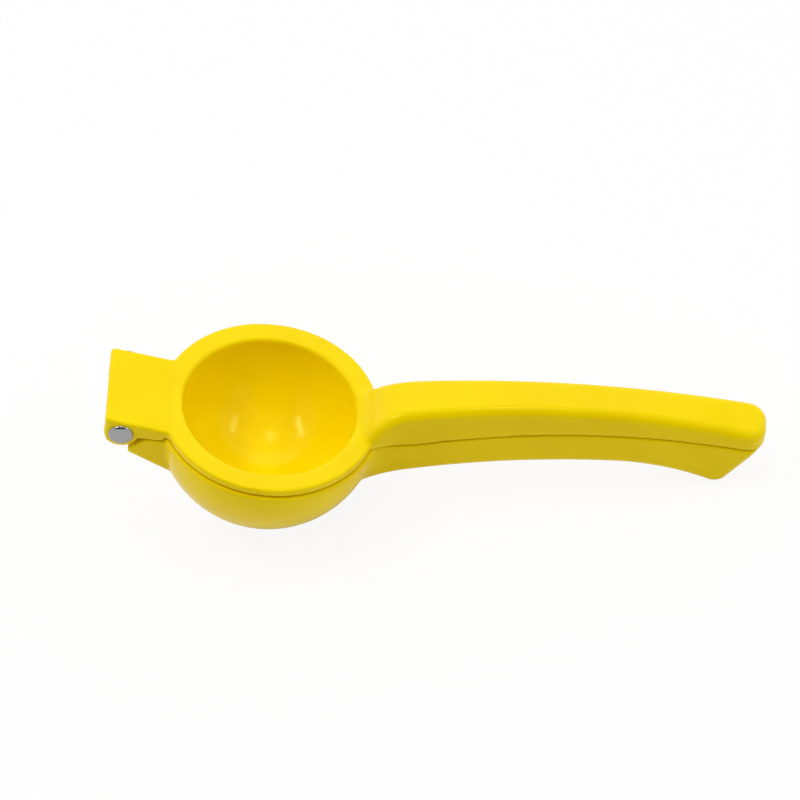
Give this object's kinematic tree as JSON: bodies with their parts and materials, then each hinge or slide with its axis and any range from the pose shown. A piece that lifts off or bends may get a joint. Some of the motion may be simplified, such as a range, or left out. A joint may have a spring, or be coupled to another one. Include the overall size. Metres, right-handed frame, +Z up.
{
  "type": "lemon squeezer",
  "caption": "Hinged hand citrus press with a domed press cup nested in a perforated strainer bowl on long curved handles, in yellow enamelled cast aluminium.",
  "frame": {"origin": "on the table, in the middle of the squeezer's bounding box, with the squeezer lying closed on its bowl and its handle's tip", "axes": "+X from the hinge towards the handles' end, +Y away from the rivet's head, +Z up"},
  "size_m": [0.1966, 0.0674, 0.0534],
  "materials": {
    "yellow_enamel": "satin-gloss baked enamel over cast aluminium",
    "polished_steel": "polished stainless steel"
  },
  "bodies": {
    "lower_lever": {"lower_lever": "yellow_enamel"},
    "upper_lever": {"upper_lever": "yellow_enamel", "hinge_rivet": "polished_steel", "rivet_washer": "polished_steel"}
  },
  "joints": [
    {"name": "lever_hinge", "type": "hinge", "parent": "lower_lever", "child": "upper_lever", "pos_m": [-0.093, 0, 0.04656], "axis": [0, -1, 0], "range_deg": [0, 130]}
  ]
}
